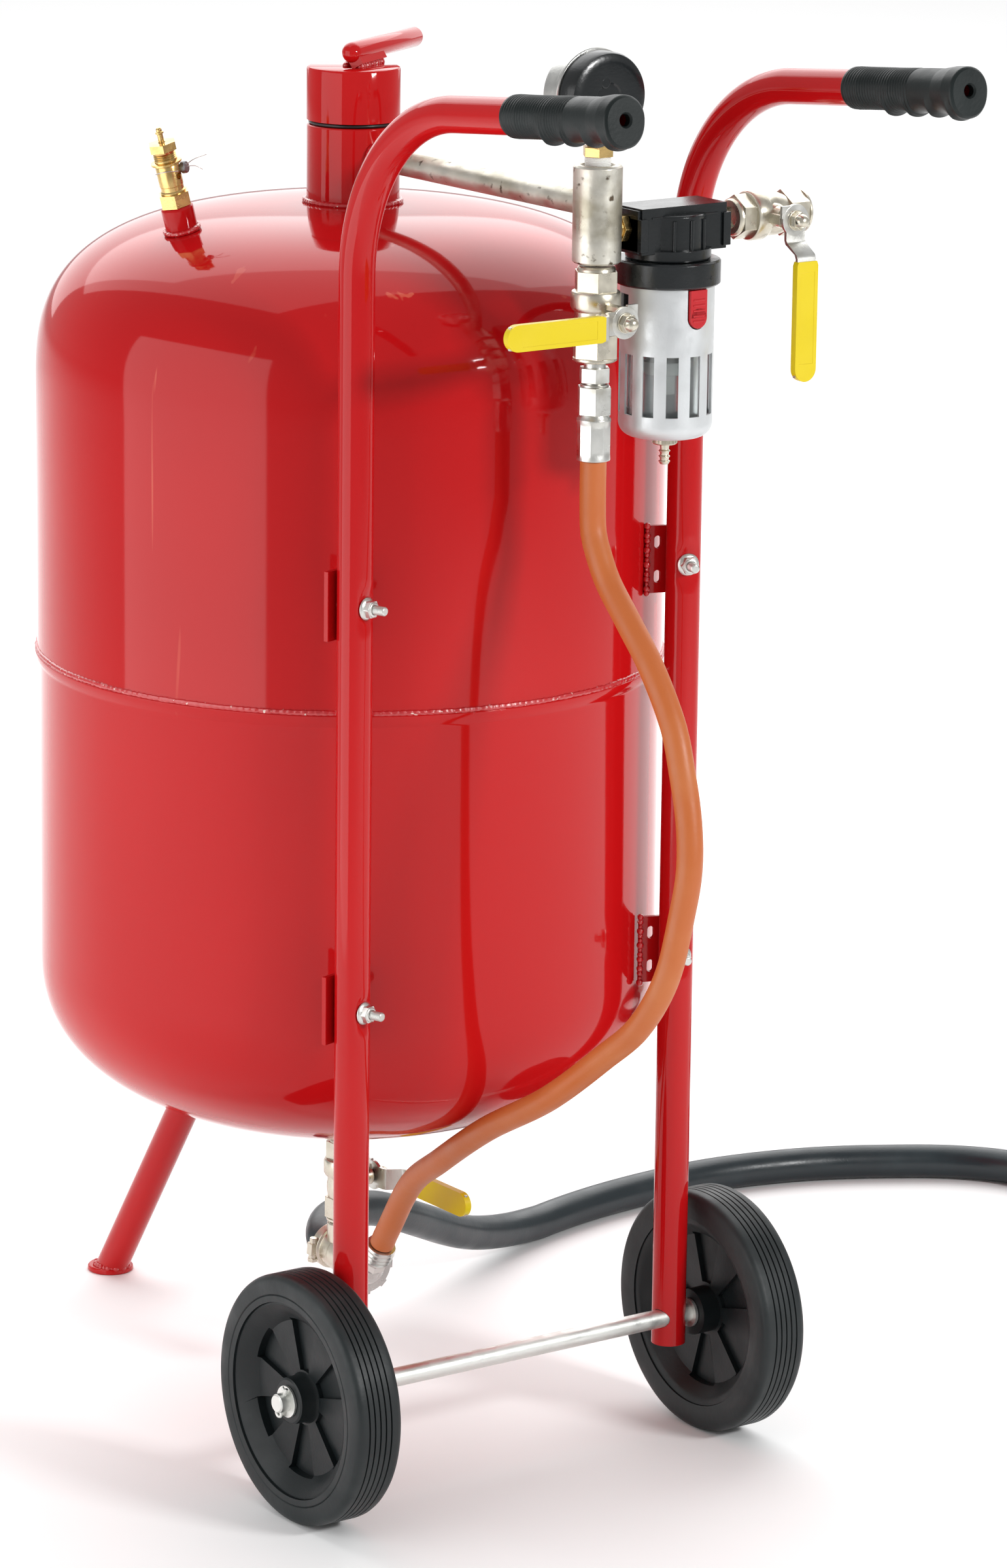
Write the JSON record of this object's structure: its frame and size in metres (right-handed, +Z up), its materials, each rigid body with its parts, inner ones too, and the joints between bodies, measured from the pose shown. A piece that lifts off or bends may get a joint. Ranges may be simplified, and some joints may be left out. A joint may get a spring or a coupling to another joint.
{
  "type": "abrasive blasting pot",
  "caption": "Wheeled steel pressure pot on a hand-truck frame, with filler lid, air inlet filter, gauge, ball valves, mixing tee and hoses for blasting grit",
  "frame": {"origin": "On the floor, under the middle of the machine's box without its blast hose and nozzle", "axes": "+Z up; the axle runs along X; the handles point along -Y, to the operator; the rear leg stands on the +Y side"},
  "size_m": [1.2255, 0.7621, 0.9127],
  "materials": {
    "paint": "glossy enamel over welded steel, lightly scuffed",
    "grip": "moulded vinyl grip, slightly glossy",
    "zinc": "zinc-plated steel",
    "galvanised": "hot-dip galvanised pipe with stains",
    "nickel": "nickel-plated brass, rough cast on the bodies",
    "chrome": "polished chrome",
    "brass": "turned brass",
    "black_plastic": "moulded black plastic",
    "tyre": "solid rubber with fine circumferential grooves",
    "seal_rubber": "black rubber ring",
    "air_hose_rubber": "smooth orange-brown rubber",
    "blast_hose_rubber": "smooth black rubber",
    "yellow_vinyl": "dipped yellow vinyl",
    "silver_paint": "satin silver enamel",
    "red_plastic": "moulded red plastic",
    "clear_plastic": "clear moulded plastic",
    "dial": "printed white face",
    "ceramic": "unglazed ceramic"
  },
  "bodies": {
    "machine": {"tank_upper": "paint", "tank_lower": "paint", "filler_neck": "paint", "frame_tube_left": "paint", "frame_tube_right": "paint", "tab_left_upper": "paint", "tab_left_lower": "paint", "tab_right_upper": "paint", "tab_right_lower": "paint", "rear_leg": "paint", "grip_left": "grip", "grip_right": "grip", "axle": "zinc", "frame_bolt_left_upper": "zinc", "frame_bolt_left_lower": "zinc", "frame_bolt_right_upper": "zinc", "frame_bolt_right_lower": "zinc", "air_hose_upper_end": "zinc", "air_hose_lower_end": "zinc", "outlet_pipe": "zinc", "manifold_pipe": "galvanised", "manifold_coupling": "galvanised", "control_valve_body": "nickel", "inlet_valve_body": "nickel", "media_valve_body": "nickel", "nozzle_valve_body": "nickel", "mixing_tee": "nickel", "gauge_bezel": "chrome", "union_cap": "chrome", "gauge_adapter": "brass", "filter_nipple": "brass", "safety_valve_body": "brass", "gauge_case": "black_plastic", "filter_head": "black_plastic", "filter_collar": "black_plastic", "air_hose": "air_hose_rubber", "blast_hose": "blast_hose_rubber", "blast_hose_coil": "blast_hose_rubber", "gauge_glass": "clear_plastic", "gauge_dial": "dial", "blast_nozzle": "ceramic"},
    "lid_ring": {"lid_seal": "seal_rubber"},
    "lid": {"filler_lid": "paint"},
    "relief_pin": {"safety_valve_pin": "brass"},
    "wheel_left": {"wheel_hub_left": "black_plastic", "tyre_left": "tyre"},
    "wheel_right": {"wheel_hub_right": "black_plastic", "tyre_right": "tyre"},
    "needle": {"gauge_needle": "black_plastic"},
    "filter_cup": {"filter_guard": "silver_paint", "filter_bowl": "clear_plastic"},
    "latch": {"filter_latch": "red_plastic"},
    "drain": {"filter_drain": "nickel"},
    "control_handle": {"control_valve_stem": "zinc", "control_valve_lever": "yellow_vinyl"},
    "inlet_handle": {"inlet_valve_stem": "zinc", "inlet_valve_lever": "yellow_vinyl"},
    "media_handle": {"media_valve_stem": "zinc", "media_valve_lever": "yellow_vinyl"},
    "nozzle_handle": {"nozzle_valve_lever": "yellow_vinyl"}
  },
  "joints": [
    {"name": "lid_lift", "type": "slide", "parent": "machine", "child": "lid_ring", "axis": [0, 0, 1], "range_m": [0, 0.0256]},
    {"name": "lid_turn", "type": "hinge", "parent": "lid_ring", "child": "lid", "pos_m": [0, 0.0724, 0.85], "axis": [0, 0, 1], "range_deg": [0, 3060]},
    {"name": "relief_pull", "type": "slide", "parent": "machine", "child": "relief_pin", "axis": [-0.2622, 0, 0.965], "range_m": [0, 0.004], "stiffness_N_per_m": 200},
    {"name": "wheel_spin_left", "type": "hinge", "parent": "machine", "child": "wheel_left", "pos_m": [-0.156, -0.118, 0.079], "axis": [1, 0, 0], "continuous": true},
    {"name": "wheel_spin_right", "type": "hinge", "parent": "machine", "child": "wheel_right", "pos_m": [0.156, -0.118, 0.079], "axis": [1, 0, 0], "continuous": true},
    {"name": "needle_turn", "type": "hinge", "parent": "machine", "child": "needle", "pos_m": [0, -0.174, 0.8823], "axis": [0, -1, 0], "range_deg": [0, 270]},
    {"name": "filter_cup_turn", "type": "hinge", "parent": "machine", "child": "filter_cup", "pos_m": [0.0535, -0.1865, 0.72], "axis": [0, 0, 1], "range_deg": [0, 45]},
    {"name": "latch_press", "type": "slide", "parent": "filter_cup", "child": "latch", "axis": [-0.0523, 0.9986, 0], "range_m": [0, 0.0025], "stiffness_N_per_m": 200},
    {"name": "drain_turn", "type": "hinge", "parent": "filter_cup", "child": "drain", "pos_m": [0.0535, -0.1865, 0.67], "axis": [0, 0, 1], "range_deg": [0, 180]},
    {"name": "control_valve_turn", "type": "hinge", "parent": "machine", "child": "control_handle", "pos_m": [0, -0.1865, 0.7505], "axis": [0, -1, 0], "range_deg": [0, 90]},
    {"name": "inlet_valve_turn", "type": "hinge", "parent": "machine", "child": "inlet_handle", "pos_m": [0.127, -0.1865, 0.802], "axis": [0, -1, 0], "range_deg": [0, 90]},
    {"name": "media_valve_turn", "type": "hinge", "parent": "machine", "child": "media_handle", "pos_m": [0, 0.0724, 0.142], "axis": [1, 0, 0], "range_deg": [0, 90]},
    {"name": "nozzle_valve_turn", "type": "hinge", "parent": "machine", "child": "nozzle_handle", "pos_m": [0.931, 0.23158, 0.02158], "axis": [0, 0.1513, 0.9885], "range_deg": [0, 90]}
  ],
  "couplings": [
    {"joint": "lid_lift", "follows": "lid_turn", "m_per_rad": 0.00047746}
  ]
}
